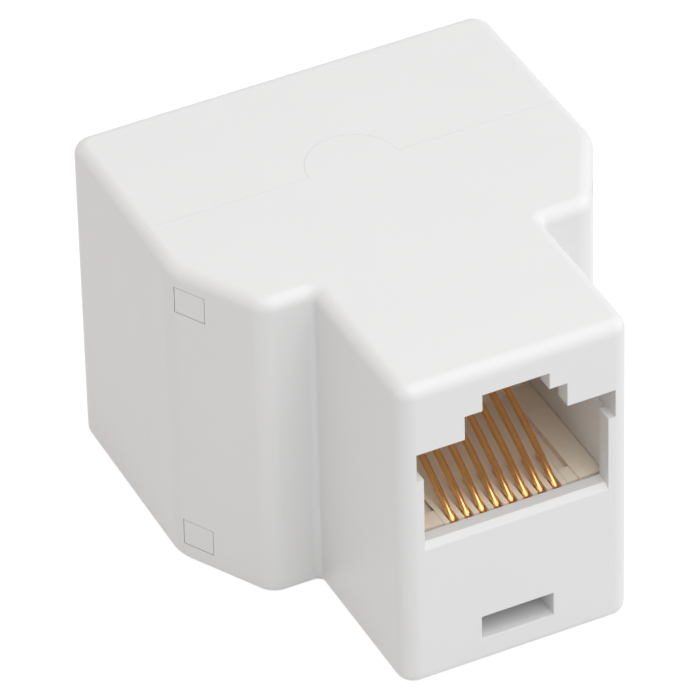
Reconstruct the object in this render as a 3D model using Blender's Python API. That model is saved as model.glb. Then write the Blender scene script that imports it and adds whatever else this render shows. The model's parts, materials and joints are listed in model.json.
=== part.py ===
"""Ethernet splitter adapter: a white T-shaped housing with one modular socket on its stem and two on its
wide back. Two moulded shells snap together over three contact carriers and one circuit board.

Metres, +Z up, the single socket faces -Y, the origin is at the middle of the underside.
"""
import math

import bmesh
import bpy
from mathutils import Matrix, Vector

# Housing, seen from above: a stem in front, shoulders, chamfered cheeks and a wide back
stem_width = 0.0159
stem_length = 0.0118
shoulder_width = 0.0034
body_width = 0.0298
chamfer_depth = 0.00635
side_depth = 0.0150
side_draft = 0.0002
body_height = 0.0234
wall = 0.0012

# Corner and edge rounding of the mouldings
stem_corner_radius = 0.0012
inner_corner_radius = 0.0004
shoulder_corner_radius = 0.0016
kink_radius = 0.0030
back_corner_radius = 0.0013
top_edge_radius = 0.0009
bottom_edge_radius = 0.0007
least_radius = 0.0003
corner_steps = 6
small_corner_steps = 3
edge_steps = 4

# Parting line between the shells, its tongue and its rebate
seam_behind_kink = 0.0040
seam_gap = 0.0002
tongue_radius = 0.0031
tongue_steps = 24
skin = 0.00055
rebate_clearance = 0.00015
lip_reach = 0.0010

# Snap hooks of the rear shell and their windows in the chamfers of the front shell
window_width = 0.00235
window_height = 0.0020
window_from_kink = 0.00045
window_from_edge = 0.0014
hook_clearance = 0.00012
hook_recess = 0.00003
hook_root = 0.0009
arm_thickness = 0.0008
arm_inset = 0.0020
arm_from_kink = 0.0010
arm_foot = 0.0009

# Socket opening in a shell wall, its stepped key above it and the sleeved slot below it
socket_width = 0.01272
socket_height = 0.00733
key_wide = 0.00704
key_wide_height = 0.00174
key_narrow = 0.00458
key_narrow_height = 0.00123
roof_above_key = 0.0021
ear_width = 0.0005
ear_height = 0.0021
lip_chamfer = 0.0004
slot_width = 0.0050
slot_low = 0.0020
slot_height = 0.00174
sleeve_wall = 0.0006
sleeve_depth = 0.0026
partition = 0.0006
partition_room = 0.00015

# Contact carrier behind each socket
carrier_beyond_socket = 0.00004
carrier_gap = 0.0003
ledge_width = 0.00132
floor_thickness = 0.0011
floor_below_ledge = 0.00045
floor_set_back = 0.0011
rib_gap = 0.00008
rib_depth = 0.0035
rib_below_ledge = 0.0001
stop_depth = 0.0113
stop_thickness = 0.0016
stop_centre_width = 0.0084
comb_side_room = 0.0001
comb_slot_depth = 0.0009
comb_below_spring = 0.0009
comb_above_spring = 0.0021
arm_room = 0.0004
cross_wall = 0.0010
cross_wall_gap = 0.0005
boss_radius = 0.0012
peg_radius = 0.0007
peg_steps = 16

# Contact springs
contact_count = 8
contact_pitch = 0.00102
wire_radius = 0.00023
wire_resolution = 2
wire_gap = 0.00012
bend_slack = 0.00005
bend_steps = 7
rise_angle = math.radians(22)
wire_in_slot = 0.0007
tail_gap = 0.00015

# Circuit board between the carriers
board_thickness = 0.0016
board_gap = 0.0003
board_hole_clearance = 0.00015

overrun = 0.001
sharp_angle = math.radians(30)

# Colour, roughness and metallic value of each plastic and metal
white_plastic_look = ((0.80, 0.80, 0.78), 0.35, 0)
carrier_plastic_look = ((0.74, 0.71, 0.65), 0.45, 0)
gold_plate_look = ((0.83, 0.55, 0.22), 0.25, 1)
board_green_look = ((0.03, 0.22, 0.09), 0.5, 0)

# Places worked out from the sizes above
body_depth = stem_length + chamfer_depth + side_depth
front_y = -body_depth / 2
back_y = body_depth / 2
shoulder_y = front_y + stem_length
kink_y = shoulder_y + chamfer_depth
seam_y = kink_y + seam_behind_kink
carrier_width = socket_width + 2 * carrier_beyond_socket
carrier_half = carrier_width / 2
socket_spacing = carrier_width + partition + 2 * partition_room
stem_half = stem_width / 2
shoulder_half = stem_half + shoulder_width
body_half = body_width / 2
back_half = body_half - side_draft
chamfer_width = body_half - shoulder_half
seam_half = body_half - side_draft * seam_behind_kink / side_depth
ceiling = body_height - wall
lip_thickness = wall - skin - rebate_clearance
board_front = body_depth / 2 - board_thickness / 2
carrier_end = board_front - board_gap
carrier_start = wall + carrier_gap
key_narrow_high = body_height - roof_above_key
key_wide_high = key_narrow_high - key_narrow_height
socket_high = key_wide_high - key_wide_height
socket_low = socket_high - socket_height
slot_high = slot_low + slot_height
window_low = window_from_edge + window_height
leg_clear_high = window_low + arm_room
stop_high = body_height - window_low - arm_room
leg_end = back_y - seam_y - seam_gap / 2 - arm_room
floor_high = socket_low - floor_below_ledge
floor_low = floor_high - floor_thickness
rib_thickness = contact_pitch - 2 * (wire_radius + rib_gap)
comb_slot_width = 2 * (wire_radius + comb_side_room)
tail_z = floor_low - wire_gap - wire_radius
bend_depth = carrier_start + floor_set_back
bend_radius = floor_thickness / 2 + wire_gap + wire_radius + bend_slack
bend_turn = math.pi - rise_angle
spring_top = tail_z + bend_radius * (1 + math.cos(rise_angle))
spring_run = stop_depth + wire_in_slot - bend_depth + bend_radius * math.sin(rise_angle)
spring_end = spring_top + spring_run * math.tan(rise_angle)
comb_slot_low = spring_end - comb_below_spring
comb_slot_high = spring_end + comb_above_spring
peg_high = (comb_slot_high + stop_high) / 2


def port_frame(across, facing_back):
    """Frame of a socket: x runs across it, y into the body from the wall's outer face, z up."""
    if facing_back:
        return Matrix.Translation((across, back_y, 0)) @ Matrix.Rotation(math.pi, 4, "Z")
    return Matrix.Translation((across, front_y, 0))


PORTS = {
    "front": port_frame(0, False),
    "rear_left": port_frame(-socket_spacing / 2, True),
    "rear_right": port_frame(socket_spacing / 2, True),
}


def clear_scene():
    for thing in list(bpy.data.objects):
        bpy.data.objects.remove(thing, do_unlink=True)


def plastic_or_metal(name, colour, roughness, metallic):
    material = bpy.data.materials.new(name)
    material.use_nodes = True
    shader = material.node_tree.nodes["Principled BSDF"]
    shader.inputs["Base Color"].default_value = (*colour, 1)
    shader.inputs["Roughness"].default_value = roughness
    shader.inputs["Metallic"].default_value = metallic
    return material


def new_object(name, mesh_builder):
    mesh = bpy.data.meshes.new(name)
    mesh_builder.to_mesh(mesh)
    mesh_builder.free()
    thing = bpy.data.objects.new(name, mesh)
    bpy.context.scene.collection.objects.link(thing)
    return thing


def loft(name, loops):
    """Closed solid through loops of equal length, each wound anticlockwise seen from the last loop's side."""
    build = bmesh.new()
    rings = [[build.verts.new(point) for point in loop] for loop in loops]
    count = len(rings[0])
    for low, high in zip(rings, rings[1:]):
        for i in range(count):
            j = (i + 1) % count
            build.faces.new((low[i], low[j], high[j], high[i]))
    build.faces.new(list(reversed(rings[0])))
    build.faces.new(rings[-1])
    return new_object(name, build)


def upright_prism(name, outline, low, high):
    """Outline in x and y, anticlockwise from above, raised from low to high."""
    return loft(name, [[Vector((x, y, z)) for x, y in outline] for z in (low, high)])


def depth_prism(name, outline, near, far):
    """Outline in x and z, anticlockwise seen from the socket's mouth, run from near to far along y."""
    flat = list(reversed(outline))
    return loft(name, [[Vector((x, y, z)) for x, z in flat] for y in (near, far)])


def block(name, low, high):
    outline = [(low[0], low[1]), (high[0], low[1]), (high[0], high[1]), (low[0], high[1])]
    return upright_prism(name, outline, low[2], high[2])


def circle(centre, radius, steps):
    angles = [math.tau * step / steps for step in range(steps)]
    return [(centre[0] + radius * math.cos(angle), centre[1] + radius * math.sin(angle)) for angle in angles]


def placed(thing, frame):
    """Bakes a frame into the mesh, so the object itself stays at the origin."""
    thing.data.transform(frame)
    return thing


def combine(target, tool, operation):
    """Boolean of two solids, applied; the tool is used up."""
    modifier = target.modifiers.new(operation.title(), "BOOLEAN")
    modifier.operation = operation
    modifier.solver = "EXACT"
    modifier.object = tool
    bpy.context.view_layer.update()
    evaluated = target.evaluated_get(bpy.context.evaluated_depsgraph_get())
    result = bpy.data.meshes.new_from_object(evaluated)
    target.modifiers.clear()
    target.data = result
    bpy.data.objects.remove(tool, do_unlink=True)
    return target


def cut(target, tool):
    return combine(target, tool, "DIFFERENCE")


def join(target, tool):
    return combine(target, tool, "UNION")


def finish(thing, name, material):
    thing.name = name
    thing.data.name = name
    thing.data.materials.clear()
    thing.data.materials.append(material)
    thing.data.shade_smooth()
    thing.data.set_sharp_from_angle(angle=sharp_angle)
    return thing


# Plan outline of the housing
def plan_corners():
    """Corner points anticlockwise from above, each with its rounding and its number of facets."""
    right = [
        (stem_half, front_y, stem_corner_radius, corner_steps),
        (stem_half, shoulder_y, inner_corner_radius, small_corner_steps),
        (shoulder_half, shoulder_y, shoulder_corner_radius, corner_steps),
        (body_half, kink_y, kink_radius, small_corner_steps),
        (back_half, back_y, back_corner_radius, corner_steps),
    ]
    left = [(-x, y, radius, steps) for x, y, radius, steps in reversed(right)]
    return right + left


def plan_outline(inset):
    """The rounded plan outline, moved inwards by inset."""
    corners = plan_corners()
    count = len(corners)
    points = [Vector(corner[:2]) for corner in corners]
    ways = [(points[(i + 1) % count] - points[i]).normalized() for i in range(count)]
    outline = []
    for i, (x, y, radius, steps) in enumerate(corners):
        before, after = ways[i - 1], ways[i]
        turn = math.atan2(before.cross(after), before.dot(after))
        inward = Vector((-before.y, before.x))
        middle = (inward + Vector((-after.y, after.x))).normalized()
        corner = points[i] + middle * inset / math.cos(turn / 2)
        bend = max(radius - inset, least_radius) if turn > 0 else radius + inset
        start = corner - before * bend * math.tan(abs(turn) / 2)
        side = math.copysign(bend, turn)
        centre = start + inward * side
        for step in range(steps + 1):
            angle = turn * step / steps
            spoke = Matrix.Rotation(angle, 2) @ (start - centre)
            outline.append(tuple(centre + spoke))
    return outline


def outer_form():
    """The whole housing as one solid with its rounded top and bottom edges."""
    levels = []
    for step in range(edge_steps + 1):
        angle = math.pi / 2 * step / edge_steps
        rise = bottom_edge_radius * (1 - math.cos(angle))
        levels.append((rise, bottom_edge_radius * (1 - math.sin(angle))))
    for step in range(edge_steps + 1):
        angle = math.pi / 2 * step / edge_steps
        drop = top_edge_radius * (1 - math.sin(angle))
        levels.append((body_height - drop, top_edge_radius * (1 - math.cos(angle))))
    return loft("outer_form", [[Vector((x, y, z)) for x, y in plan_outline(inset)] for z, inset in levels])


def cavity():
    return upright_prism("cavity", plan_outline(wall), wall, ceiling)


# Openings of one socket, in the socket's own frame
def socket_hole(with_ears):
    half = socket_width / 2
    ear = half + ear_width
    right = [(half, socket_low)]
    if with_ears:
        right += [(half, socket_high - ear_height), (ear, socket_high - ear_height), (ear, socket_high)]
    else:
        right += [(half, socket_high)]
    right += [
        (key_wide / 2, socket_high),
        (key_wide / 2, key_wide_high),
        (key_narrow / 2, key_wide_high),
        (key_narrow / 2, key_narrow_high),
    ]
    outline = right + [(-x, z) for x, z in reversed(right)]
    return depth_prism("socket_hole", outline, -overrun, wall + overrun)


def lip_bevel():
    """Wedge that chamfers the lower lip of a socket."""
    half = socket_width / 2
    near = -overrun
    drop = lip_chamfer + overrun
    loops = []
    for x in (-half, half):
        loops.append([
            Vector((x, near, socket_low - drop)),
            Vector((x, lip_chamfer + overrun, socket_low + overrun)),
            Vector((x, near, socket_low + overrun)),
        ])
    return loft("lip_bevel", loops)


def slot_sleeve():
    """Thickening that carries the low slot's walls into the housing."""
    half = slot_width / 2 + sleeve_wall
    return block("slot_sleeve", (-half, wall / 2, wall / 2), (half, sleeve_depth, slot_high + sleeve_wall))


def low_slot():
    half = slot_width / 2
    return block("low_slot", (-half, -overrun, slot_low), (half, sleeve_depth + overrun, slot_high))


def open_socket(shell, frame, with_ears):
    join(shell, placed(slot_sleeve(), frame))
    cut(shell, placed(socket_hole(with_ears), frame))
    cut(shell, placed(lip_bevel(), frame))
    cut(shell, placed(low_slot(), frame))


# Snap windows and hooks, in a frame at the kink: x along the chamfer towards the shoulder, y outwards
def chamfer_frame(side):
    along = Vector((-chamfer_width * side, -chamfer_depth, 0)).normalized()
    outward = Vector((chamfer_depth * side, -chamfer_width, 0)).normalized()
    frame = Matrix.Identity(4)
    frame.col[0][:3] = along
    frame.col[1][:3] = outward
    frame.col[3][:3] = (body_half * side, kink_y, 0)
    return frame


def in_chamfer(name, side, low, high):
    """Block whose corners are given in the chamfer's frame, on either side of the housing."""
    flat = [(low[0], low[1]), (high[0], low[1]), (high[0], high[1]), (low[0], high[1])]
    frame = chamfer_frame(side)
    outline = [tuple((frame @ Vector((x, y, 0)))[:2]) for x, y in flat]
    area = sum(a[0] * b[1] - b[0] * a[1] for a, b in zip(outline, outline[1:] + outline[:1]))
    if area < 0:
        outline.reverse()
    return upright_prism(name, outline, low[2], high[2])


def window_levels():
    """Low and high edge of the lower and of the upper window."""
    return (window_from_edge, window_low), (body_height - window_low, body_height - window_from_edge)


def snap_window(side, low, high):
    return in_chamfer(
        "snap_window", side,
        (window_from_kink, -wall - overrun, low),
        (window_from_kink + window_width, overrun, high),
    )


def snap_hook(shell, side, low, high):
    """Arm that springs from the lip of the rear shell, with the nub that fills a window."""
    low += hook_clearance
    high -= hook_clearance
    arm_outer = body_half - arm_inset
    arm_inner = arm_outer - arm_thickness
    arm_front = kink_y - arm_from_kink
    arm_back = seam_y - lip_reach / 2
    across = sorted((arm_inner * side, arm_outer * side))
    join(shell, block("arm", (across[0], arm_front, low), (across[1], arm_back, high)))
    lip_middle = seam_half - skin - rebate_clearance - lip_thickness / 2
    across = sorted((arm_inner * side, lip_middle * side))
    foot_back = seam_y + seam_gap / 2
    join(shell, block("arm_foot", (across[0], seam_y - arm_foot, low), (across[1], foot_back, high)))
    join(shell, in_chamfer(
        "nub", side,
        (window_from_kink + hook_clearance, -wall - hook_root, low),
        (window_from_kink + window_width - hook_clearance, -hook_recess, high),
    ))


# The two shells
def tongue_outline(radius, centre_y, far_y):
    """Everything behind the seam apart from the half-round tongue."""
    reach = body_half + overrun
    arc = []
    for step in range(tongue_steps + 1):
        angle = math.pi * step / tongue_steps
        arc.append((radius * math.cos(angle), centre_y + radius * math.sin(angle)))
    return [(reach, centre_y), (reach, far_y), (-reach, far_y), (-reach, centre_y)] + list(reversed(arc))


def front_shell(material):
    shell = outer_form()
    cut(shell, cavity())
    edge_y = seam_y - seam_gap / 2
    far_y = back_y + overrun
    reach = body_half + overrun
    tongue_low = body_height - skin
    cut(shell, block("behind_seam", (-reach, edge_y, -overrun), (reach, far_y, tongue_low)))
    outline = tongue_outline(tongue_radius, edge_y, far_y)
    cut(shell, upright_prism("around_tongue", outline, ceiling, body_height + overrun))
    rebate_half = seam_half - skin
    rebate_y = seam_y - lip_reach - rebate_clearance
    cut(shell, block("rebate", (-rebate_half, rebate_y, skin), (rebate_half, far_y, tongue_low)))
    for side in (-1, 1):
        for low, high in window_levels():
            cut(shell, snap_window(side, low, high))
    open_socket(shell, PORTS["front"], True)
    return finish(shell, "front_shell", material)


def rear_shell(material):
    shell = outer_form()
    cut(shell, cavity())
    edge_y = seam_y + seam_gap / 2
    reach = body_half + overrun
    above = body_height + overrun
    cut(shell, block("before_seam", (-reach, front_y - overrun, -overrun), (reach, edge_y, above)))
    lip_half = seam_half - skin - rebate_clearance
    lip_low = skin + rebate_clearance
    lip = block(
        "lip", (-lip_half, seam_y - lip_reach, lip_low), (lip_half, edge_y + wall / 2, body_height - lip_low),
    )
    inner_half = lip_half - lip_thickness
    cut(lip, block("lip_hole", (-inner_half, front_y, wall), (inner_half, back_y, ceiling)))
    join(shell, lip)
    pocket = circle((0, seam_y - seam_gap / 2), tongue_radius + seam_gap, 2 * tongue_steps)
    cut(shell, upright_prism("tongue_pocket", pocket, body_height - lip_low, above))
    join(shell, block(
        "partition",
        (-partition / 2, edge_y, wall / 2),
        (partition / 2, back_y - wall / 2, body_height - wall / 2),
    ))
    for side in (-1, 1):
        for low, high in window_levels():
            snap_hook(shell, side, low, high)
    for name in ("rear_left", "rear_right"):
        open_socket(shell, PORTS[name], False)
    return finish(shell, "rear_shell", material)


# Contact carrier: two legs with ledges, a floor with a comb, a stop wall with slots, a peg for the board
def contact_carrier(name, frame, material):
    ledge_inner = carrier_half - ledge_width
    leg_low = wall + carrier_gap
    floor_front = carrier_start + floor_set_back
    reach = ledge_inner + ledge_width / 2
    carrier = block("floor", (-reach, floor_front, floor_low), (reach, carrier_end, floor_high))
    for side in (-1, 1):
        across = sorted((ledge_inner * side, carrier_half * side))
        leg = block("leg", (across[0], carrier_start, leg_low), (across[1], carrier_end, socket_low))
        gap_low = (across[0] - overrun, leg_end, leg_low - overrun)
        gap_high = (across[1] + overrun, carrier_end + overrun, leg_clear_high)
        cut(leg, block("hook_room", gap_low, gap_high))
        join(carrier, leg)
    stop_back = stop_depth + stop_thickness
    floor_middle = floor_low + floor_thickness / 2
    stop_low = (-carrier_half, stop_depth, floor_middle)
    join(carrier, block("stop", stop_low, (carrier_half, stop_back, stop_high)))
    half = stop_centre_width / 2
    centre_high = (half, stop_back, ceiling - carrier_gap)
    join(carrier, block("stop_centre", (-half, stop_depth, floor_high), centre_high))
    rib_high = socket_low - rib_below_ledge
    for i in range(contact_count + 1):
        middle = (i - contact_count / 2) * contact_pitch
        low = (middle - rib_thickness / 2, carrier_start, floor_low)
        high = (middle + rib_thickness / 2, carrier_start + rib_depth, rib_high)
        join(carrier, block("rib", low, high))
    for i in range(contact_count):
        middle = contact_place(i)
        low = (middle - comb_slot_width / 2, stop_depth - overrun, comb_slot_low)
        high = (middle + comb_slot_width / 2, stop_depth + comb_slot_depth, comb_slot_high)
        cut(carrier, block("comb_slot", low, high))
    cross_high = tail_z - wire_radius - cross_wall_gap
    join(carrier, block(
        "cross_wall", (-reach, carrier_end - cross_wall, leg_clear_high), (reach, carrier_end, cross_high),
    ))
    boss = circle((0, peg_high), boss_radius, peg_steps)
    join(carrier, depth_prism("boss", boss, stop_back - stop_thickness / 2, carrier_end))
    peg = circle((0, peg_high), peg_radius, peg_steps)
    join(carrier, depth_prism("peg", peg, carrier_end - boss_radius, board_front + board_thickness))
    placed(carrier, frame)
    return finish(carrier, name, material)


# Contact springs: a tail under the carrier's floor, a bend round its front edge, a rise to the stop wall
def contact_place(index):
    return (index - (contact_count - 1) / 2) * contact_pitch


def contact_route():
    """Points of one spring in depth and height."""
    centre_z = tail_z + bend_radius
    points = [(board_front - tail_gap, tail_z)]
    for step in range(bend_steps + 1):
        angle = -math.pi / 2 - bend_turn * step / bend_steps
        points.append((bend_depth + bend_radius * math.cos(angle), centre_z + bend_radius * math.sin(angle)))
    points.append((stop_depth + wire_in_slot, spring_end))
    return points


def contact_curve(material):
    curve = bpy.data.curves.new("contact_spring", "CURVE")
    curve.dimensions = "3D"
    curve.bevel_depth = wire_radius
    curve.bevel_resolution = wire_resolution
    curve.use_fill_caps = True
    spline = curve.splines.new("POLY")
    route = contact_route()
    spline.points.add(len(route) - 1)
    for point, (depth, height) in zip(spline.points, route):
        point.co = (0, depth, height, 1)
    curve.materials.append(material)
    return curve


def contact_springs(port, frame, curve):
    for i in range(contact_count):
        spring = bpy.data.objects.new(f"{port}_contact_{i + 1}", curve)
        bpy.context.scene.collection.objects.link(spring)
        spring.matrix_world = frame @ Matrix.Translation((contact_place(i), 0, 0))


def circuit_board(material):
    """Board that stands between the carriers, held on their pegs."""
    across = shoulder_half + chamfer_width * (board_front - stem_length) / chamfer_depth
    half = across - wall * math.hypot(chamfer_width, chamfer_depth) / chamfer_depth - board_gap
    near = front_y + board_front
    board = block("board", (-half, near, leg_clear_high), (half, near + board_thickness, stop_high))
    for frame in PORTS.values():
        hole = circle((0, peg_high), peg_radius + board_hole_clearance, peg_steps)
        far = board_front + board_thickness + overrun
        cut(board, placed(depth_prism("peg_hole", hole, board_front - overrun, far), frame))
    return finish(board, "circuit_board", material)


def main():
    clear_scene()
    white_plastic = plastic_or_metal("white_plastic", *white_plastic_look)
    carrier_plastic = plastic_or_metal("carrier_plastic", *carrier_plastic_look)
    front_shell(white_plastic)
    rear_shell(white_plastic)
    curve = contact_curve(plastic_or_metal("gold_plate", *gold_plate_look))
    for port, frame in PORTS.items():
        contact_carrier(f"{port}_contact_carrier", frame, carrier_plastic)
        contact_springs(port, frame, curve)
    circuit_board(plastic_or_metal("board_green", *board_green_look))


main()
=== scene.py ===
"""Looks of a network splitter adapter: white housing, contact carriers, springs and studio."""
import json
import math
from collections import namedtuple

import bmesh
import bpy
from bpy.props import FloatProperty, FloatVectorProperty, PointerProperty
from mathutils import Matrix, Vector

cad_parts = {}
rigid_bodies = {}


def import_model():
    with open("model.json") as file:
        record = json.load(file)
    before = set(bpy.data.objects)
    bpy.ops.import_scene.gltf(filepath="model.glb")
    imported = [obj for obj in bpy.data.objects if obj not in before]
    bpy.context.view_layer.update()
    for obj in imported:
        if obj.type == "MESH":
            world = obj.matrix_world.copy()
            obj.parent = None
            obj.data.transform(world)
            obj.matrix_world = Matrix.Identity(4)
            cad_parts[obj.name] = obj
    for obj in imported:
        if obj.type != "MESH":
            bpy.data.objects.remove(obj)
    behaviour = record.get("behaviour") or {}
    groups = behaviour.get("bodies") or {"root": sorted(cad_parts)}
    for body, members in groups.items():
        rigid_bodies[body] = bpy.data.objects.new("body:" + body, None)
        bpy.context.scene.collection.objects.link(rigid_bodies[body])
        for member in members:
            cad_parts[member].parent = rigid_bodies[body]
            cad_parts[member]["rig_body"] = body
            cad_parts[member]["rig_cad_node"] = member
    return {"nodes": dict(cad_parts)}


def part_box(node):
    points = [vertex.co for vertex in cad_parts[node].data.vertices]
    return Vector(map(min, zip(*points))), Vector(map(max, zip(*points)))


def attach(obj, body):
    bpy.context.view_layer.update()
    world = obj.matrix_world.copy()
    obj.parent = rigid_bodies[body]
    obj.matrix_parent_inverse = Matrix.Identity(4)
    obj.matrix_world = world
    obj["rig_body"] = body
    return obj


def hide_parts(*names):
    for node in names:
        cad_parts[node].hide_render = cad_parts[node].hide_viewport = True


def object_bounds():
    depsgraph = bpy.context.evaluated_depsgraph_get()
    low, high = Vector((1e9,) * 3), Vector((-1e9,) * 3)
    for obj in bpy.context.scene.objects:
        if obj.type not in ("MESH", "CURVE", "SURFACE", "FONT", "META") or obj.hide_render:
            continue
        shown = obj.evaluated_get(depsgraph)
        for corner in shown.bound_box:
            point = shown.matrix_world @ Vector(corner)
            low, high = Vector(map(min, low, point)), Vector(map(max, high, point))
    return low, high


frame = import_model()
CAD_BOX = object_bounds()

bl_info = {
    "name": "Network Splitter Looks",
    "version": (1, 0, 0),
    "blender": (4, 5, 0),
    "location": "View3D > Sidebar > Splitter",
    "description": "Models the visible pieces of a network splitter adapter round its packed frame",
    "category": "Object",
}

# Where the housing's front and back lie along Y, its right side along X and its top along Z
FRONT, BACK = CAD_BOX[0].y, CAD_BOX[1].y
SIDE, TOP = CAD_BOX[1].x, CAD_BOX[1].z
# Contact springs in each socket
SPRINGS = 8
# Places closer than TOUCH metres count as one, and vertices closer than MERGE are joined
TOUCH = 0.00001
MERGE = TOUCH / 4
# How far cutters reach past what they cut, a length beyond the whole housing, and the least
# radius that a corner gets
OVERRUN = 0.001
FAR = 0.1
LEAST_ROUND = 0.0001
# Segments of the housing's upright corners, its upper and lower edges, the edges of its
# openings, the carriers' edges and the round tongue
CORNER_STEPS = 12
EDGE_STEPS = 7
OPENING_STEPS = 3
SOFT_STEPS = 2
DRUM_STEPS = 64
# Segments of a spring's bend and of its rise, and how finely its wire is rounded
BEND_STEPS = 20
RISE_STEPS = 12
WIRE_STEPS = 4
# Edges that turn more than SHARP stay crisp, faces that turn less than FLAT are one
SHARP = math.radians(30)
FLAT = math.radians(0.1)
# Detail of the noise in smooth patterns and in fine grain
SMOOTH_DETAIL = 2.0
FINE_DETAIL = 3.0
# A Mix node's inputs for two colours, and its output for their blend
FIRST_COLOUR, SECOND_COLOUR, BLEND = 6, 7, 2
# The camera's sensor in millimetres, and how near and far it sees in metres
SENSOR = 36
NEAREST, FARTHEST = 0.01, 10
WHITE = (1, 1, 1)
WARM = (1, 0.60, 0.36)
# Each softbox: its place, the length of its sides, and its colour
SOFTBOXES = {
    "top": ((0.05, 0.02, 0.45), 0.35, WHITE),
    "front": ((0.12, -0.42, 0.20), 0.30, WHITE),
    "high": ((0, -0.25, 0.40), 0.35, WHITE),
    "left": ((-0.42, 0.20, 0.15), 0.30, WARM),
    "right": ((0.50, -0.10, 0.20), 0.35, WHITE),
}


# A socket: its middle in X, its wall's outer face in Y, and its way into the housing along Y
Port = namedtuple("Port", "middle outer inward")


def port_place(port):
    """Place of the socket that a contact carrier stands behind."""
    low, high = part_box(f"{port}_contact_carrier")
    middle = (low + high) / 2
    return Port(middle.x, FRONT, 1) if middle.y < 0 else Port(middle.x, BACK, -1)


PORTS = {port: port_place(port) for port in ("front", "rear_left", "rear_right")}


# Shader nodes written as Python expressions
class Socket:
    """Output of a shader node. Sums and products with it add Math nodes."""

    def __init__(self, finish, socket):
        self.finish = finish
        self.socket = socket

    def math(self, operation, other):
        return self.finish.node("ShaderNodeMath", {"operation": operation}, {0: self, 1: other})

    def __add__(self, other):
        return self.math("ADD", other)

    def __mul__(self, other):
        return self.math("MULTIPLY", other)

    __radd__ = __add__
    __rmul__ = __mul__


class Finish:
    """A material whose Principled BSDF is fed by a procedural pattern."""

    def __init__(self, name):
        self.material = bpy.data.materials.new(name)
        self.material.use_nodes = True
        self.nodes = self.material.node_tree.nodes
        self.links = self.material.node_tree.links
        self.shader = self.nodes["Principled BSDF"]
        self.place = self.node("ShaderNodeTexCoord", {}, {}, "Object")

    def node(self, kind, settings, values, output=0):
        """Adds a node, sets its settings first and then the values or links of its sockets."""
        made = self.nodes.new(kind)
        for name, value in settings.items():
            setattr(made, name, value)
        for name, value in values.items():
            self.feed(made.inputs[name], value)
        return Socket(self, made.outputs[output])

    def feed(self, socket, value):
        if isinstance(value, Socket):
            self.links.new(value.socket, socket)
        else:
            socket.default_value = value

    def noise(self, width, detail=SMOOTH_DETAIL):
        """Noise from 0 to 1 whose features are about width metres wide."""
        values = {"Vector": self.place, "Scale": 1 / width, "Detail": detail}
        return self.node("ShaderNodeTexNoise", {}, values)

    def tone(self, pattern, colour, darkest, lightest):
        """The colour times a factor that follows the pattern from darkest to lightest."""
        values = {
            "Factor": pattern,
            FIRST_COLOUR: shaded(colour, darkest),
            SECOND_COLOUR: shaded(colour, lightest),
        }
        return self.node("ShaderNodeMix", {"data_type": "RGBA"}, values, BLEND)

    def surface(self, colour, roughness, height, depth, metallic=0.0):
        """Feeds the shader: depth is how far, in metres, the bump rises where height is 1."""
        self.feed(self.shader.inputs["Base Color"], colour)
        self.feed(self.shader.inputs["Roughness"], roughness)
        self.feed(self.shader.inputs["Metallic"], metallic)
        values = {"Strength": 1.0, "Distance": depth, "Height": height}
        self.feed(self.shader.inputs["Normal"], self.node("ShaderNodeBump", {}, values, "Normal"))
        return self.material


def shaded(colour, factor):
    """The colour made darker or lighter, as a node's opaque colour."""
    return (*(channel * factor for channel in colour), 1)


def housing_plastic(colour):
    """Satin moulding with faint flow marks and a fine grain."""
    flow_width, grain_width, grain_depth = 0.006, 0.00012, 0.000003
    finish = Finish("housing_plastic")
    flow = finish.noise(flow_width)
    grain = finish.noise(grain_width, FINE_DETAIL)
    tone = finish.tone(flow, colour, darkest=0.99, lightest=1.01)
    roughness = 0.34 + 0.06 * flow + 0.04 * grain
    return finish.surface(tone, roughness, grain, grain_depth)


def carrier_plastic(colour):
    """Matt cream moulding with a fine grain."""
    flow_width, grain_width, grain_depth = 0.002, 0.0001, 0.000004
    finish = Finish("carrier_plastic")
    flow = finish.noise(flow_width)
    grain = finish.noise(grain_width, FINE_DETAIL)
    tone = finish.tone(flow, colour, darkest=0.96, lightest=1.03)
    roughness = 0.42 + 0.1 * flow
    return finish.surface(tone, roughness, grain, grain_depth)


def gold_plate(colour):
    """Bright plate on drawn wire, slightly uneven in tone and shine."""
    tarnish_width, ripple_width, ripple_depth = 0.0012, 0.0003, 0.0000005
    finish = Finish("gold_plate")
    tarnish = finish.noise(tarnish_width)
    tone = finish.tone(tarnish, colour, darkest=0.93, lightest=1.04)
    roughness = 0.13 + 0.08 * tarnish
    ripple = finish.noise(ripple_width)
    return finish.surface(tone, roughness, ripple, ripple_depth, metallic=1.0)


def board_laminate(colour):
    """Solder mask over a glass weave."""
    weave_width, weave_depth = 0.0004, 0.000005
    finish = Finish("board_laminate")
    weave = finish.noise(weave_width)
    tone = finish.tone(weave, colour, darkest=0.85, lightest=1.15)
    roughness = 0.4 + 0.1 * weave
    return finish.surface(tone, roughness, weave, weave_depth)


# Modelling by hand: pick in edit mode, then extrude, bevel, bisect and cut
def nothing_selected():
    if bpy.context.mode != "OBJECT":
        bpy.ops.object.mode_set(mode="OBJECT")
    bpy.ops.object.select_all(action="DESELECT")


def choose(piece):
    """Selects one piece alone and makes it the active one."""
    nothing_selected()
    piece.select_set(True)
    bpy.context.view_layer.objects.active = piece


def edit(piece):
    """Opens a piece for editing."""
    choose(piece)
    bpy.ops.object.mode_set(mode="EDIT")


def edit_all(piece):
    """Opens a piece for editing with all of it selected."""
    edit(piece)
    bpy.ops.mesh.select_all(action="SELECT")


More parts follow.
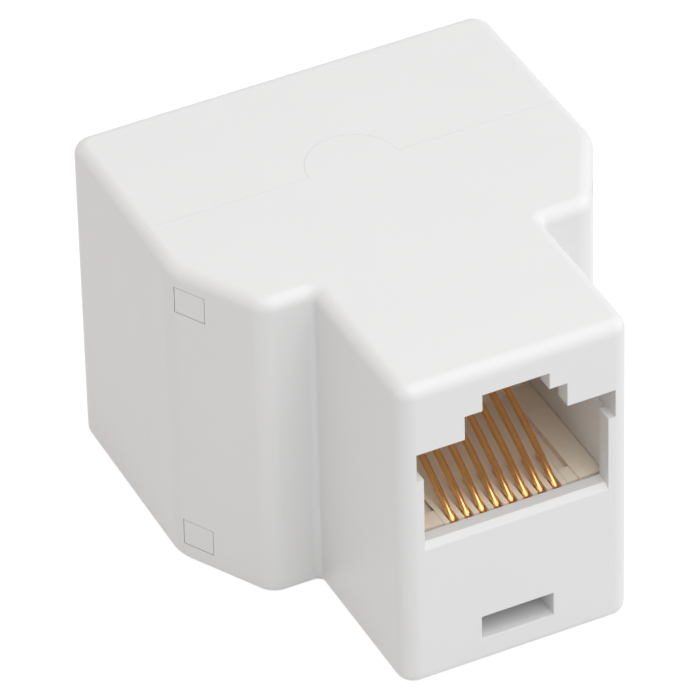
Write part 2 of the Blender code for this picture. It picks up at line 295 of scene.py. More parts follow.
def pick(kind, wanted):
    """Selects the vertices or edges of the open piece that a test wants, and nothing else."""
    bpy.ops.mesh.select_mode(type=kind)
    bpy.ops.mesh.select_all(action="DESELECT")
    mesh = bmesh.from_edit_mesh(bpy.context.object.data)
    mesh.normal_update()
    for item in mesh.verts if kind == "VERT" else mesh.edges:
        if wanted(item):
            item.select_set(True)
    mesh.select_flush_mode()
    bmesh.update_edit_mesh(bpy.context.object.data)


def close_to(first, second):
    return abs(first - second) < TOUCH


def middle_of(edge):
    return (edge.verts[0].co + edge.verts[1].co) / 2


def is_upright(edge):
    low, high = edge.verts[0].co, edge.verts[1].co
    return close_to(low.x, high.x) and close_to(low.y, high.y)


def sticks_out(edge):
    return edge.is_manifold and edge.is_convex and edge.calc_face_angle(0) > SHARP


def extrude(*way):
    bpy.ops.mesh.extrude_region_move(TRANSFORM_OT_translate={"value": way})


def round_edges(wanted, width, steps):
    pick("EDGE", wanted)
    bpy.ops.mesh.bevel(
        offset=width, offset_type="OFFSET", segments=steps, profile=0.5, clamp_overlap=False,
    )


def merge_flat_faces(piece):
    """Opens a piece, and joins its doubled vertices and its faces that lie in one plane."""
    edit_all(piece)
    bpy.ops.mesh.remove_doubles(threshold=MERGE)
    bpy.ops.mesh.dissolve_limited(angle_limit=FLAT)


def finish_editing():
    """Joins the open piece's doubled vertices, turns its faces outwards and leaves edit mode."""
    bpy.ops.mesh.select_all(action="SELECT")
    bpy.ops.mesh.remove_doubles(threshold=MERGE)
    bpy.ops.mesh.normals_make_consistent(inside=False)
    nothing_selected()


def around(middle, width):
    return middle - width / 2, middle + width / 2


def brick(name, across, depth, levels):
    """Cube added and then given its size and place by its spans in X, Y and Z."""
    nothing_selected()
    bpy.ops.mesh.primitive_cube_add(size=1)
    made = bpy.context.object
    made.name = name
    bpy.ops.object.mode_set(mode="EDIT")
    low, high = (Vector(corner) for corner in zip(across, depth, levels))
    bpy.ops.transform.resize(value=high - low)
    bpy.ops.transform.translate(value=(low + high) / 2)
    nothing_selected()
    return made


def drum(name, centre, radius, low, high):
    """Upright cylinder from low to high."""
    nothing_selected()
    bpy.ops.mesh.primitive_cylinder_add(vertices=DRUM_STEPS, radius=radius, depth=high - low)
    made = bpy.context.object
    made.name = name
    bpy.ops.object.mode_set(mode="EDIT")
    bpy.ops.transform.translate(value=(*centre, (low + high) / 2))
    nothing_selected()
    return made


def apply_modifier(piece, kind, **settings):
    """Adds a modifier to a piece, sets it up and applies it."""
    choose(piece)
    modifier = piece.modifiers.new(kind.lower(), kind)
    for name, value in settings.items():
        setattr(modifier, name, value)
    bpy.ops.object.modifier_apply(modifier=modifier.name)


def boolean(piece, operation, *tools):
    """Applies a Boolean with each tool in turn, and removes the tools."""
    for tool in tools:
        apply_modifier(piece, "BOOLEAN", operation=operation, solver="EXACT", object=tool)
        bpy.data.objects.remove(tool, do_unlink=True)


def keep_between(piece, low_y, high_y):
    """Cuts a piece off in front of low_y and behind high_y, and closes the cuts."""
    edit(piece)
    for place, front in ((low_y, True), (high_y, False)):
        bpy.ops.mesh.select_all(action="SELECT")
        bpy.ops.mesh.bisect(
            plane_co=(0, place, 0), plane_no=(0, 1, 0), use_fill=True,
            clear_inner=front, clear_outer=not front,
        )
    finish_editing()


def smooth(piece):
    """Smooth shading with crisp edges, and flat faces kept flat beside their rounded edges."""
    choose(piece)
    bpy.ops.object.shade_smooth_by_angle(angle=SHARP)
    apply_modifier(piece, "WEIGHTED_NORMAL", keep_sharp=True)


def settle(piece, material, slot, *nodes):
    """Gives a finished piece its material and its body, and hides the nodes that it stands for."""
    piece.data.name = piece.name
    piece.data.materials.clear()
    piece.data.materials.append(material)
    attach(piece, "root")
    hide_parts(*nodes)


# Lines of the housing, as places along Y
def shoulder_line(sizes):
    return FRONT + sizes.stem_length


def kink_line(sizes):
    """Where the slanted cheeks end and the sides of the back begin."""
    return shoulder_line(sizes) + sizes.cheek_depth


def seam_line(sizes):
    return kink_line(sizes) + sizes.seam_from_kink


def cheek_slope(sizes):
    """Angle between a cheek and the housing's length."""
    return math.atan2(SIDE - sizes.shoulder_width / 2, sizes.cheek_depth)


def depth_span(port, *depths):
    """Places along Y, in rising order, at depths from a socket's wall into the housing."""
    return sorted(port.outer + port.inward * depth for depth in depths)


# The housing
def housing_sheet(sizes, inset):
    """Plan of the housing as one flat face at height 0, taken in by inset.

    A square becomes the cheeks' part. Its back edge is extruded to the back. Its front edge is
    drawn in to the shoulders and cut in three, and the middle third is extruded to the stem.
    """
    shoulder_y, kink_y = shoulder_line(sizes), kink_line(sizes)
    stem, shoulder, body = sizes.stem_width / 2, sizes.shoulder_width / 2, SIDE
    nothing_selected()
    bpy.ops.mesh.primitive_plane_add(size=1)
    sheet = bpy.context.object
    bpy.ops.object.mode_set(mode="EDIT")
    bpy.ops.transform.resize(value=(2 * body, sizes.cheek_depth, 1))
    bpy.ops.transform.translate(value=(0, (shoulder_y + kink_y) / 2, 0))
    pick("EDGE", lambda edge: close_to(middle_of(edge).y, kink_y))
    extrude(0, BACK - kink_y, 0)
    bpy.ops.transform.resize(value=(1 - sizes.draft / body, 1, 1))
    pick("EDGE", lambda edge: close_to(middle_of(edge).y, shoulder_y))
    bpy.ops.transform.resize(value=(shoulder / body, 1, 1))
    bpy.ops.mesh.subdivide(number_cuts=2)
    pick("VERT", lambda vertex: (
        close_to(vertex.co.y, shoulder_y) and abs(vertex.co.x) < shoulder / 2
    ))
    bpy.ops.transform.resize(value=(3 * stem / shoulder, 1, 1))
    pick("EDGE", lambda edge: (
        close_to(middle_of(edge).y, shoulder_y) and close_to(middle_of(edge).x, 0)
    ))
    extrude(0, -sizes.stem_length, 0)
    bpy.ops.mesh.select_mode(type="FACE")
    bpy.ops.mesh.select_all(action="SELECT")
    bpy.ops.mesh.remove_doubles(threshold=TOUCH)
    bpy.ops.mesh.dissolve_faces()
    if inset:
        bpy.ops.mesh.inset(thickness=inset, use_even_offset=True)
        bpy.ops.mesh.select_all(action="INVERT")
        bpy.ops.mesh.delete(type="FACE")
    return sheet


def upright_within(depth, reach):
    """Test for upright edges within a span of Y and a span of distance from the middle plane."""
    def wanted(edge):
        place = edge.verts[0].co
        in_depth = depth[0] - TOUCH < place.y < depth[1] + TOUCH
        return is_upright(edge) and in_depth and reach[0] <= abs(place.x) < reach[1]

    return wanted


def round_corners(sizes, inset):
    """Rounds the upright edges of the open form, whose plan was taken in by inset."""
    shoulder_y, kink_y, slope = shoulder_line(sizes), kink_line(sizes), cheek_slope(sizes)
    quarter = math.pi / 2
    front, back = (FRONT, FRONT + 2 * inset), (BACK - 2 * inset, BACK)
    kink = (kink_y - 2 * inset, kink_y + 2 * inset)
    shoulder = (shoulder_y, shoulder_y + 2 * inset)
    split = (sizes.stem_width + sizes.shoulder_width) / 4 - inset
    # Each kind of corner: its span of Y, its span from the middle plane, its radius, its turn
    corners = (
        (front, (0, FAR), sizes.stem_corner - inset, quarter),
        (back, (0, FAR), sizes.back_corner - inset, quarter),
        (kink, (0, FAR), sizes.kink_corner - inset, slope),
        (shoulder, (0, split), sizes.inner_corner + inset, quarter),
        (shoulder, (split, FAR), sizes.shoulder_corner - inset, quarter - slope),
    )
    for depth, reach, radius, turn in corners:
        width = max(radius, LEAST_ROUND) * math.tan(turn / 2)
        round_edges(upright_within(depth, reach), width, CORNER_STEPS)


def housing_form(name, sizes, inset, top_round=0, bottom_round=0):
    """The housing's form, taken in by inset all over, with its corners and edges rounded."""
    low, high = inset, TOP - inset
    form = housing_sheet(sizes, inset)
    form.name = name
    bpy.ops.mesh.select_all(action="SELECT")
    bpy.ops.transform.translate(value=(0, 0, low))
    extrude(0, 0, high - low)
    bpy.ops.mesh.select_all(action="SELECT")
    bpy.ops.mesh.normals_make_consistent(inside=False)
    round_corners(sizes, inset)
    for height, radius in ((high, top_round), (low, bottom_round)):
        if radius:
            round_edges(
                lambda edge: all(close_to(vertex.co.z, height) for vertex in edge.verts),
                radius, EDGE_STEPS,
            )
    finish_editing()
    return form


def socket_cutters(sizes, port, with_ears):
    """Bricks that open a socket, its two key steps and the slot under it, in its wall."""
    wall = depth_span(port, -OVERRUN, sizes.wall + OVERRUN)
    sleeve = depth_span(port, -OVERRUN, sizes.sleeve_depth + OVERRUN)
    spans = [
        (sizes.socket_width, sizes.socket_low, sizes.socket_high, wall),
        (sizes.key_wide, sizes.socket_high - TOUCH, sizes.key_wide_high, wall),
        (sizes.key_narrow, sizes.key_wide_high - TOUCH, sizes.key_narrow_high, wall),
        (sizes.slot_width, sizes.slot_low, sizes.slot_high, sleeve),
    ]
    if with_ears:
        wide = sizes.socket_width + 2 * sizes.ear_width
        spans.append((wide, sizes.socket_high - sizes.ear_height, sizes.socket_high, wall))
    return [
        brick("opening", around(port.middle, width), depth, (low, high))
        for width, low, high, depth in spans
    ]


def slot_sleeve(sizes, port):
    """Block behind the low slot, which the slot's cutter makes a sleeve."""
    across = around(port.middle, sizes.slot_width + 2 * sizes.sleeve_wall)
    depth = depth_span(port, sizes.wall / 2, sizes.sleeve_depth)
    return brick("sleeve", across, depth, (sizes.wall / 2, sizes.slot_high + sizes.sleeve_wall))


def lip_cutter(sizes, port):
    """Turned brick that chamfers the lower lip of a socket."""
    square = 2 * sizes.lip_chamfer
    cutter = brick(
        "lip", around(port.middle, sizes.socket_width), around(port.outer, square),
        around(sizes.socket_low, square),
    )
    edit_all(cutter)
    centre = (port.middle, port.outer, sizes.socket_low)
    shrink = 1 / math.sqrt(2)
    bpy.ops.transform.rotate(value=math.pi / 4, orient_axis="X", center_override=centre)
    bpy.ops.transform.resize(value=(1, shrink, shrink), center_override=centre)
    nothing_selected()
    return cutter


def open_socket(shell, sizes, port, with_ears):
    boolean(shell, "UNION", slot_sleeve(sizes, port))
    cutters = socket_cutters(sizes, port, with_ears)
    boolean(shell, "DIFFERENCE", *cutters, lip_cutter(sizes, port))


def window_places(sizes):
    """Lower and upper edge of the snap windows."""
    low, high = sizes.window_edge, sizes.window_edge + sizes.window_height
    return (low, high), (TOP - high, TOP - low)


def cheek_brick(name, sizes, side, span, depth, levels):
    """Brick along a cheek: span runs from the kink towards the shoulder, depth inwards."""
    kink = Vector((SIDE * side, kink_line(sizes), 0))
    across = sorted(kink.x - side * far for far in depth)
    made = brick(name, across, (kink.y - span[1], kink.y - span[0]), levels)
    edit_all(made)
    bpy.ops.transform.rotate(
        value=cheek_slope(sizes) * side, orient_axis="Z", center_override=kink,
    )
    nothing_selected()
    return made


def snap_windows(sizes):
    span = (sizes.window_from_kink, sizes.window_from_kink + sizes.window_width)
    depth = (-OVERRUN, sizes.wall + OVERRUN)
    return [
        cheek_brick("window", sizes, side, span, depth, levels)
        for side in (-1, 1) for levels in window_places(sizes)
    ]


def snap_nubs(sizes):
    """The hooks of the rear shell where they fill the windows."""
    gap = sizes.window_gap
    span = (sizes.window_from_kink + gap, sizes.window_from_kink + sizes.window_width - gap)
    depth = (sizes.nub_recess, sizes.wall + sizes.hook_root)
    return [
        cheek_brick("nub", sizes, side, span, depth, (low + gap, high - gap))
        for side in (-1, 1) for low, high in window_places(sizes)
    ]


def snap_arms(sizes):
    """Arms that carry the nubs, each with a foot on the lip of the rear shell."""
    outer = SIDE - sizes.arm_inset
    inner = outer - sizes.arm_thickness
    foot_outer = SIDE - sizes.wall - sizes.draft + sizes.skin / 2
    seam = seam_line(sizes)
    arm_depth = (kink_line(sizes) - sizes.arm_reach, seam + sizes.lip_reach / 2)
    foot_depth = (seam - sizes.arm_thickness, seam + sizes.lip_reach)
    arms = []
    for side in (-1, 1):
        for low, high in window_places(sizes):
            levels = (low + sizes.hook_clearance, high - sizes.hook_clearance)
            across = sorted((inner * side, outer * side))
            arms.append(brick("arm", across, arm_depth, levels))
            across = sorted((inner * side, foot_outer * side))
            arms.append(brick("foot", across, foot_depth, levels))
    return arms


def at_opening(sizes, port, place):
    """Is this place on a wall's outer face, at its socket or slot but not at the ears?"""
    in_width = abs(place.x - port.middle) < sizes.socket_width / 2 + TOUCH
    in_height = sizes.slot_low - TOUCH < place.z < sizes.key_narrow_high + TOUCH
    return close_to(place.y, port.outer) and in_width and in_height


def dress_edges(shell, sizes, *ports):
    """Merges what the cuts left, and takes the sharpness off the edges of sockets and slots."""
    merge_flat_faces(shell)
    for port in ports:
        round_edges(
            lambda edge: sticks_out(edge) and all(
                at_opening(sizes, port, vertex.co) for vertex in edge.verts
            ),
            sizes.opening_edge, OPENING_STEPS,
        )
    nothing_selected()


def front_housing(sizes, material):
    """The shell in front of the parting line, with its tongue, rebate, windows and socket."""
    seam = seam_line(sizes)
    edge = seam - sizes.seam_gap / 2
    behind = brick("behind", (-FAR, FAR), (edge, FAR), (-FAR, FAR))
    boolean(behind, "DIFFERENCE", drum("tongue", (0, edge), sizes.tongue, TOP - sizes.skin, FAR))
    shell = housing_form("outer_form", sizes, 0, sizes.top_edge, sizes.bottom_edge)
    boolean(shell, "DIFFERENCE", behind)
    rebate = housing_form("rebate", sizes, sizes.skin)
    keep_between(rebate, seam - sizes.lip_reach - sizes.rebate_gap, seam + sizes.lip_reach)
    cavity = housing_form("cavity", sizes, sizes.wall)
    boolean(shell, "DIFFERENCE", cavity, rebate, *snap_windows(sizes))
    open_socket(shell, sizes, PORTS["front"], True)
    shell.name = "front_housing"
    dress_edges(shell, sizes, PORTS["front"])
    smooth(shell)
    settle(shell, material, "front_shell", "front_shell")


def rear_housing(sizes, material):
    """The shell behind the parting line, with its lip, hooks, divider and two sockets."""
    seam = seam_line(sizes)
    edge = seam + sizes.seam_gap / 2
    inset = sizes.skin + sizes.rebate_gap
    before = brick("before", (-FAR, FAR), (-FAR, edge), (-FAR, FAR))
    pocket = drum(
        "pocket", (0, seam - sizes.seam_gap / 2), sizes.tongue + sizes.seam_gap,
        TOP - sizes.skin - sizes.rebate_gap, FAR,
    )
    shell = housing_form("outer_form", sizes, 0, sizes.top_edge, sizes.bottom_edge)
    boolean(shell, "DIFFERENCE", before)
    lip = housing_form("lip", sizes, inset)
    keep_between(lip, seam - sizes.lip_reach, seam + sizes.lip_reach)
    boolean(shell, "UNION", lip)
    boolean(shell, "DIFFERENCE", housing_form("cavity", sizes, sizes.wall), pocket)
    divider = brick(
        "divider", around(0, sizes.partition), (edge, BACK - sizes.wall / 2),
        (sizes.wall / 2, TOP - sizes.wall / 2),
    )
    boolean(shell, "UNION", divider, *snap_arms(sizes), *snap_nubs(sizes))
    ports = (PORTS["rear_left"], PORTS["rear_right"])
    for port in ports:
        open_socket(shell, sizes, port, False)
    shell.name = "rear_housing"
    dress_edges(shell, sizes, *ports)
    smooth(shell)
    settle(shell, material, "rear_shell", "rear_shell")


# The contact carriers and their springs
def widen(piece, room):
    """Moves the outer sides of the piece that is open for editing outwards by room."""
    reach = max(vertex.co.x for vertex in bmesh.from_edit_mesh(piece.data).verts)
    for side in (-1, 1):
        pick("VERT", lambda vertex: close_to(vertex.co.x, reach * side))
        bpy.ops.transform.translate(value=(room * side, 0, 0))


def end_ribs(sizes, port):
    """Bricks that close the pits between a carrier's outermost ribs and its ledges."""
    reaches = (sizes.end_rib_inner, sizes.end_rib_outer)
    depth = depth_span(port, sizes.rib_start, sizes.rib_end)
    ribs = []
    for side in (-1, 1):
        across = sorted(port.middle + side * reach for reach in reaches)
        ribs.append(brick("end_rib", across, depth, (sizes.rib_low, sizes.rib_high)))
    return ribs


def softened_copy(node, name, width, side_room, ribs):
    """Copy of a frame node with its sides moved out, its end ribs joined on, its edges softened."""
    nothing_selected()
    piece = frame["nodes"][node].copy()
    piece.data = piece.data.copy()
    piece.parent = None
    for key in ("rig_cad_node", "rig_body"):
        del piece[key]
    bpy.context.scene.collection.objects.link(piece)
    piece.name = name
    edit(piece)
    bpy.ops.mesh.customdata_custom_splitnormals_clear()
    merge_flat_faces(piece)
    if side_room:
        widen(piece, side_room)
    boolean(piece, "UNION", *ribs)
    apply_modifier(
        piece, "BEVEL", width=width, segments=SOFT_STEPS, limit_method="ANGLE", angle_limit=SHARP,
    )
    smooth(piece)
    return piece


def contact_carriers(sizes, material):
    for port, place in PORTS.items():
        node = f"{port}_contact_carrier"
        side_room = sizes.carrier_side if port == "front" else 0
        ribs = end_ribs(sizes, place)
        piece = softened_copy(node, f"{port}_comb_carrier", sizes.carrier_edge, side_room, ribs)
        settle(piece, material, "contact_carrier", node)


def bowed_rise(start, end, first_rise):
    """Places along an arc from start, where it rises at the angle first_rise, to end."""
    chord = end - start
    half_turn = first_rise - math.atan2(chord.y, chord.x)
    radius = chord.length / (2 * math.sin(half_turn))
    places = []
    for step in range(1, RISE_STEPS + 1):
        rise = first_rise - 2 * half_turn * step / RISE_STEPS
        places.append((
            start.x + radius * (math.sin(first_rise) - math.sin(rise)),
            start.y + radius * (math.cos(rise) - math.cos(first_rise)),
        ))
    return places


def spring_route(sizes, node):
    """A spring's place in X, and the Y and Z of its middle line: tail, bend and bowed rise.

    The line follows the box of its node, and ends where a straight rise would end.
    """
    low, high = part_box(node)
    facing_back = low.y > 0
    inward = -1 if facing_back else 1
    mouth, tail = (high.y, low.y) if facing_back else (low.y, high.y)
    tail_z = low.z + sizes.wire_radius
    bend_y = mouth + inward * (sizes.wire_radius + sizes.bend_radius)
    centre_z = tail_z + sizes.bend_radius

    def on_bend(rise, progress):
        """Depth from the bend's middle, and height, of a place on a bend that ends at a rise."""
        turned = math.pi / 2 + (math.pi - rise) * progress
        depth = sizes.bend_radius * math.cos(turned)
        return depth, centre_z - sizes.bend_radius * math.sin(turned)

    first_rise = sizes.rise + sizes.bow
    route = [on_bend(first_rise, step / BEND_STEPS) for step in range(BEND_STEPS + 1)]
    straight_start = Vector(on_bend(sizes.rise, 1))
    end_z = high.z - sizes.wire_radius * math.cos(sizes.rise)
    end_depth = straight_start.x + (end_z - straight_start.y) / math.tan(sizes.rise)
    route += bowed_rise(Vector(route[-1]), Vector((end_depth, end_z)), first_rise)
    line = [(tail, tail_z)] + [(bend_y + inward * depth, height) for depth, height in route]
    return (low.x + high.x) / 2, line


def contact_spring(sizes, node, name):
    """One round wire, as a curve with a bevel made into a mesh."""
    across, line = spring_route(sizes, node)
    curve = bpy.data.curves.new(name, "CURVE")
    curve.dimensions = "3D"
    curve.bevel_depth = sizes.wire_radius
    curve.bevel_resolution = WIRE_STEPS
    curve.use_fill_caps = True
    spline = curve.splines.new("POLY")
    spline.points.add(len(line) - 1)
    for point, place in zip(spline.points, line):
        point.co = (across, *place, 1)
    piece = bpy.data.objects.new(name, curve)
    bpy.context.scene.collection.objects.link(piece)
    choose(piece)
    bpy.ops.object.convert(target="MESH")
    edit(piece)
    finish_editing()
    choose(piece)
    bpy.ops.object.shade_smooth_by_angle(angle=SHARP)
    return piece


def contact_springs(sizes, material):
    for port in PORTS:
        for number in range(1, SPRINGS + 1):
            node = f"{port}_contact_{number}"
            piece = contact_spring(sizes, node, f"{port}_spring_{number}")
            settle(piece, material, "contact", node)


# Properties that a user would change
def paint(label, text, colour):
    return FloatVectorProperty(
        name=label, description=text, subtype="COLOR", default=colour, min=0, max=1,
    )


def length(label, text, metres):
    return FloatProperty(
        name=label, description=text, unit="LENGTH", default=metres, min=0, precision=5,
    )


def angle(label, text, degrees, least=-180):
    return FloatProperty(
        name=label, description=text, subtype="ANGLE",
        default=math.radians(degrees), min=math.radians(least),
    )


def share(label, text, default):
    return FloatProperty(
        name=label, description=text, subtype="FACTOR", default=default, min=0, max=1,
    )


def power(label, text, watts):
    return FloatProperty(name=label, description=text, unit="POWER", default=watts, min=0)


class SPLITTER_PG_finishes(bpy.types.PropertyGroup):
    housing: paint("Housing", "Colour of the two white shells", (0.80, 0.80, 0.80))
    carrier: paint("Carriers", "Colour of the contact carriers", (0.90, 0.80, 0.66))
    gold: paint("Springs", "Colour of the gold plate", (1.0, 0.53, 0.19))
    board: paint("Board", "Colour of the circuit board", (0.03, 0.22, 0.09))


class SPLITTER_PG_sizes(bpy.types.PropertyGroup):
    stem_width: length("Stem width", "Width of the stem with the single socket", 0.0159)
    stem_length: length("Stem length", "Length of the stem in front of the shoulders", 0.0118)
    shoulder_width: length("Shoulder width", "Width over the shoulders", 0.0227)
    cheek_depth: length("Cheek depth", "Depth of the cheeks behind the shoulders", 0.00635)
    draft: length("Draft", "How much narrower the back is than the kinks, on each side", 0.0002)
    wall: length("Wall", "Thickness of the shells", 0.0012)
    stem_corner: length("Stem corner", "Rounding of the stem's front corners", 0.0012)
    inner_corner: length("Inner corner", "Rounding between stem and shoulders", 0.0004)
    shoulder_corner: length("Shoulder corner", "Rounding of the shoulders", 0.0016)
    kink_corner: length("Kink corner", "Rounding where the cheeks meet the sides", 0.0030)
    back_corner: length("Back corner", "Rounding of the back corners", 0.0013)
    top_edge: length("Top edge", "Rounding of the upper edges", 0.0009)
    bottom_edge: length("Bottom edge", "Rounding of the lower edges", 0.0007)
    seam_from_kink: length("Seam place", "Distance of the parting line behind the kink", 0.0040)
    seam_gap: length("Seam gap", "Width of the hairline between the shells", 0.00001)
    opening_edge: length("Opening edge", "Rounding of the sockets' and slots' edges", 0.00006)
    tongue: length("Tongue", "Radius of the half-round tongue in the parting line", 0.0031)
    skin: length("Skin", "Thickness of the front shell over the rear shell's lip", 0.00055)
    rebate_gap: length("Rebate gap", "Room between lip and rebate", 0.00015)
    lip_reach: length("Lip reach", "How far the rear shell's lip goes into the front one", 0.0010)
    socket_width: length("Socket width", "Width of a socket's opening", 0.01272)
    socket_low: length("Socket low", "Height of the lower edge of a socket", 0.0110)
    socket_high: length("Socket high", "Height of the upper edge of a socket", 0.01833)
    key_wide: length("Wide key", "Width of the lower key step", 0.00704)
    key_wide_high: length("Wide key top", "Height of the lower key step", 0.02007)
    key_narrow: length("Narrow key", "Width of the upper key step", 0.00458)
    key_narrow_high: length("Narrow key top", "Height of the upper key step", 0.0213)
    ear_width: length("Ear width", "Width of the steps at the front socket's top corners", 0.0005)
    ear_height: length("Ear height", "Height of those steps", 0.0021)
    lip_chamfer: length("Lip chamfer", "Chamfer on the lower lip of a socket", 0.0004)
    slot_width: length("Slot width", "Width of the low slot", 0.0050)
    slot_low: length("Slot low", "Height of the slot's lower edge", 0.0020)
    slot_high: length("Slot high", "Height of the slot's upper edge", 0.00374)
    sleeve_wall: length("Sleeve wall", "Wall of the sleeve behind the slot", 0.0006)
    sleeve_depth: length("Sleeve depth", "Depth of the sleeve behind the slot", 0.0026)
    partition: length("Partition", "Wall between the rear sockets", 0.0006)
    window_width: length("Window width", "Width of a snap window along the cheek", 0.00235)
    window_height: length("Window height", "Height of a snap window", 0.0020)
    window_from_kink: length("Window place", "Distance of a window from the kink", 0.00045)
    window_edge: length("Window edge", "Distance of a window from top or bottom", 0.0014)
    window_gap: length("Window gap", "Gap between a window and the nub in it", 0.00006)
    nub_recess: length("Nub recess", "How far a nub's face lies behind the cheek", 0.00003)
    hook_root: length("Hook root", "How far a nub reaches inside the wall", 0.0009)
    hook_clearance: length("Hook clearance", "Room round the hook's arm", 0.00012)
    arm_inset: length("Arm inset", "Distance of a hook's arm from the housing's side", 0.0020)
    arm_thickness: length("Arm thickness", "Thickness of a hook's arm", 0.0008)
    arm_reach: length("Arm reach", "How far a hook's arm goes in front of the kink", 0.0010)
    carrier_edge: length("Carrier edge", "Rounding of the carriers' edges", 0.00004)
    carrier_side: length("Carrier side", "How far the front carrier's sides move out", 0.00033)
    end_rib_inner: length("End rib inner", "End ribs' inner sides from the middle", 0.0042)
    end_rib_outer: length("End rib outer", "End ribs' outer sides from the middle", 0.0052)
    rib_start: length("Rib start", "Depth at which the end ribs start", 0.0016)
    rib_end: length("Rib end", "Depth at which the end ribs end, inside the floor", 0.0030)
    rib_low: length("Rib low", "Height of the end ribs' undersides", 0.0096)
    rib_high: length("Rib high", "Height of the end ribs' upper sides", 0.01085)
    wire_radius: length("Wire radius", "Radius of a contact spring's wire", 0.00023)
    bend_radius: length("Bend radius", "Radius of a spring's bend, at its middle line", 0.00095)
    rise: angle("Rise", "Angle at which the springs rise into the socket", 22)
    bow: angle("Bow", "How much steeper the springs rise at first than on average", 9, least=1)


class SPLITTER_PG_studio(bpy.types.PropertyGroup):
    eye: FloatVectorProperty(
        name="Camera", description="Place of the camera", subtype="TRANSLATION", unit="LENGTH",
        default=(-0.170804, -0.350416, 0.320280),
    )
    turn: angle("Turn", "Turn of the camera from +Y, seen from above", -25.558)
    pitch: angle("Pitch", "How far the camera looks down", 38.292)
    roll: angle("Roll", "Roll of the camera about its line of sight", -1.422)
    focal: FloatProperty(
        name="Focal length", description="Focal length in millimetres on a 36 mm wide sensor",
        default=405.07, min=1,
    )
    floor_size: length("Floor size", "Length of the floor's sides", 2)
    floor_tone: share("Floor tone", "How much light the floor throws back", 0.8)
    floor_shadow: share("Floor shadow", "How dark the shadow on the floor may be", 0.16)
    world: FloatProperty(
        name="World", description="Strength of the even light from all round",
        default=0.47, min=0,
    )
    top: power("Top light", "Power of the softbox above", 0.38)
    front: power("Front light", "Power of the softbox in front", 0.12)
    high: power("High light", "Power of the softbox high in front", 0.80)
    left: power("Left light", "Power of the warm softbox behind at the left", 0.14)
    right: power("Right light", "Power of the softbox at the right", 0.66)


# The studio
def grey(tone):
    return tone, tone, tone, 1


def camera_axes(studio):
    """Right, up and backward directions of the camera."""
    flat = Vector((-math.sin(studio.turn), math.cos(studio.turn), 0))
    forward = flat * math.cos(studio.pitch) - Vector((0, 0, math.sin(studio.pitch)))
    right = forward.cross(Vector((0, 0, 1))).normalized()
    up = right.cross(forward)
    rolled = Matrix.Rotation(-studio.roll, 3, forward)
    return rolled @ right, rolled @ up, -forward


def make_camera(studio):
    lens = bpy.data.cameras.new("studio_camera")
    lens.lens = studio.focal
    lens.sensor_width = SENSOR
    lens.clip_start = NEAREST
    lens.clip_end = FARTHEST
    camera = bpy.data.objects.new("studio_camera", lens)
    bpy.context.scene.collection.objects.link(camera)
    turned = Matrix(camera_axes(studio)).transposed().to_4x4()
    camera.matrix_world = Matrix.Translation(studio.eye) @ turned
    bpy.context.scene.camera = camera


def softbox(name, place, target, size, watts, colour):
    """Square area light at a place, facing a target."""
    lamp = bpy.data.lights.new(name, "AREA")
    lamp.shape = "SQUARE"
    lamp.size = size
    lamp.energy = watts
    lamp.color = colour
    light = bpy.data.objects.new(name, lamp)
    bpy.context.scene.collection.objects.link(light)
    place = Vector(place)
    aim = (Vector(target) - place).to_track_quat("-Z", "Y")
    light.matrix_world = Matrix.Translation(place) @ aim.to_matrix().to_4x4()


def by_sight(tree, seen, unseen):
    """One shader for camera, glossy and transmission rays, another for light on things."""
    path = tree.nodes.new("ShaderNodeLightPath")
    rays = path.outputs["Is Camera Ray"]
    for ray in ("Is Glossy Ray", "Is Transmission Ray"):
        either = tree.nodes.new("ShaderNodeMath")
        either.operation = "MAXIMUM"
        tree.links.new(rays, either.inputs[0])
        tree.links.new(path.outputs[ray], either.inputs[1])
        rays = either.outputs[0]
    chosen = tree.nodes.new("ShaderNodeMixShader")
    tree.links.new(rays, chosen.inputs[0])
    tree.links.new(unseen, chosen.inputs[1])
    tree.links.new(seen, chosen.inputs[2])
    return chosen.outputs[0]


def make_world(strength):
    """Even light from all round, seen as plain white."""
    world = bpy.data.worlds.new("studio_world")
    world.use_nodes = True
    tree = world.node_tree
    light = tree.nodes["Background"]
    light.inputs["Color"].default_value = grey(1)
    light.inputs["Strength"].default_value = strength
    white = tree.nodes.new("ShaderNodeBackground")
    white.inputs["Color"].default_value = grey(1)
    sky = by_sight(tree, white.outputs[0], light.outputs[0])
    tree.links.new(sky, tree.nodes["World Output"].inputs["Surface"])
    bpy.context.scene.world = world


def make_floor(studio):
    """Pale floor, seen as white apart from the soft shadow on it.

    What is seen is a glow and a dark matt surface. Full light on the two makes white again.
    """
    nothing_selected()
    bpy.ops.mesh.primitive_plane_add(size=studio.floor_size)
    floor = bpy.context.object
    floor.name = "studio_floor"
    material = bpy.data.materials.new("studio_floor")
    material.use_nodes = True
    tree = material.node_tree
    tree.nodes.remove(tree.nodes["Principled BSDF"])
    pale = tree.nodes.new("ShaderNodeBsdfDiffuse")
    pale.inputs["Color"].default_value = grey(studio.floor_tone)
    shade = tree.nodes.new("ShaderNodeBsdfDiffuse")
    shade.inputs["Color"].default_value = grey(studio.floor_shadow)
    glow = tree.nodes.new("ShaderNodeEmission")
    glow.inputs["Color"].default_value = grey(1)
    glow.inputs["Strength"].default_value = 1 - studio.floor_shadow / 2
    both = tree.nodes.new("ShaderNodeAddShader")
    tree.links.new(shade.outputs[0], both.inputs[0])
    tree.links.new(glow.outputs[0], both.inputs[1])
    sight = by_sight(tree, both.outputs[0], pale.outputs[0])
    tree.links.new(sight, tree.nodes["Material Output"].inputs["Surface"])
    floor.data.materials.append(material)


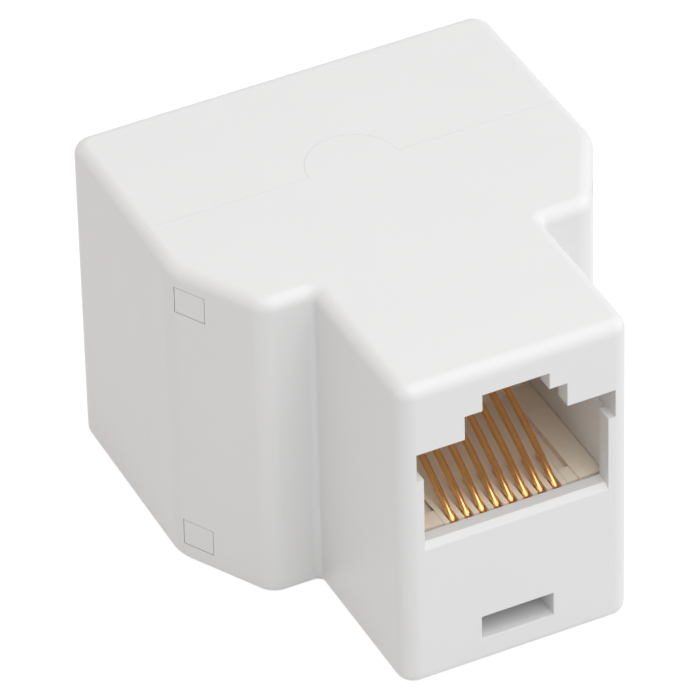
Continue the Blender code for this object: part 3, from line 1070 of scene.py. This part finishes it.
class SPLITTER_OT_housing(bpy.types.Operator):
    """Model the two shells of the housing"""

    bl_idname = "splitter.housing"
    bl_label = "Housing"

    def execute(self, context):
        sizes = context.scene.splitter_sizes
        material = housing_plastic(context.scene.splitter_finishes.housing)
        front_housing(sizes, material)
        rear_housing(sizes, material)
        return {"FINISHED"}


class SPLITTER_OT_carriers(bpy.types.Operator):
    """Make the contact carriers behind the three sockets"""

    bl_idname = "splitter.carriers"
    bl_label = "Contact carriers"

    def execute(self, context):
        material = carrier_plastic(context.scene.splitter_finishes.carrier)
        contact_carriers(context.scene.splitter_sizes, material)
        return {"FINISHED"}


class SPLITTER_OT_springs(bpy.types.Operator):
    """Make the contact springs of the three sockets"""

    bl_idname = "splitter.springs"
    bl_label = "Contact springs"

    def execute(self, context):
        material = gold_plate(context.scene.splitter_finishes.gold)
        contact_springs(context.scene.splitter_sizes, material)
        return {"FINISHED"}


class SPLITTER_OT_board(bpy.types.Operator):
    """Give the circuit board its finish"""

    bl_idname = "splitter.board"
    bl_label = "Circuit board"

    def execute(self, context):
        board = frame["nodes"]["circuit_board"]
        board.data.materials.clear()
        board.data.materials.append(board_laminate(context.scene.splitter_finishes.board))
        return {"FINISHED"}


class SPLITTER_OT_studio(bpy.types.Operator):
    """Make the floor, the softboxes, the world and the camera"""

    bl_idname = "splitter.studio"
    bl_label = "Studio"

    def execute(self, context):
        studio = context.scene.splitter_studio
        make_camera(studio)
        make_world(studio.world)
        make_floor(studio)
        middle = (CAD_BOX[0] + CAD_BOX[1]) / 2
        for name, (place, size, colour) in SOFTBOXES.items():
            softbox(f"{name}_softbox", place, middle, size, getattr(studio, name), colour)
        context.scene.view_settings.view_transform = "Standard"
        return {"FINISHED"}


class SPLITTER_PT_panel(bpy.types.Panel):
    """Lists the pieces and the studio in the sidebar"""

    bl_idname = "SPLITTER_PT_panel"
    bl_label = "Network Splitter"
    bl_space_type = "VIEW_3D"
    bl_region_type = "UI"
    bl_category = "Splitter"

    def draw(self, context):
        for operator in OPERATORS:
            self.layout.operator(operator.bl_idname)


OPERATORS = (
    SPLITTER_OT_housing,
    SPLITTER_OT_carriers,
    SPLITTER_OT_springs,
    SPLITTER_OT_board,
    SPLITTER_OT_studio,
)
GROUPS = {
    "splitter_sizes": SPLITTER_PG_sizes,
    "splitter_finishes": SPLITTER_PG_finishes,
    "splitter_studio": SPLITTER_PG_studio,
}


def register():
    for item in (*GROUPS.values(), *OPERATORS, SPLITTER_PT_panel):
        bpy.utils.register_class(item)
    for name, group in GROUPS.items():
        setattr(bpy.types.Scene, name, PointerProperty(type=group))


def unregister():
    for name in GROUPS:
        delattr(bpy.types.Scene, name)
    for item in (SPLITTER_PT_panel, *reversed(OPERATORS), *reversed(GROUPS.values())):
        bpy.utils.unregister_class(item)


def main():
    register()
    for operator in OPERATORS:
        category, name = operator.bl_idname.split(".")
        getattr(getattr(bpy.ops, category), name)()


if __name__ == "__main__":
    main()
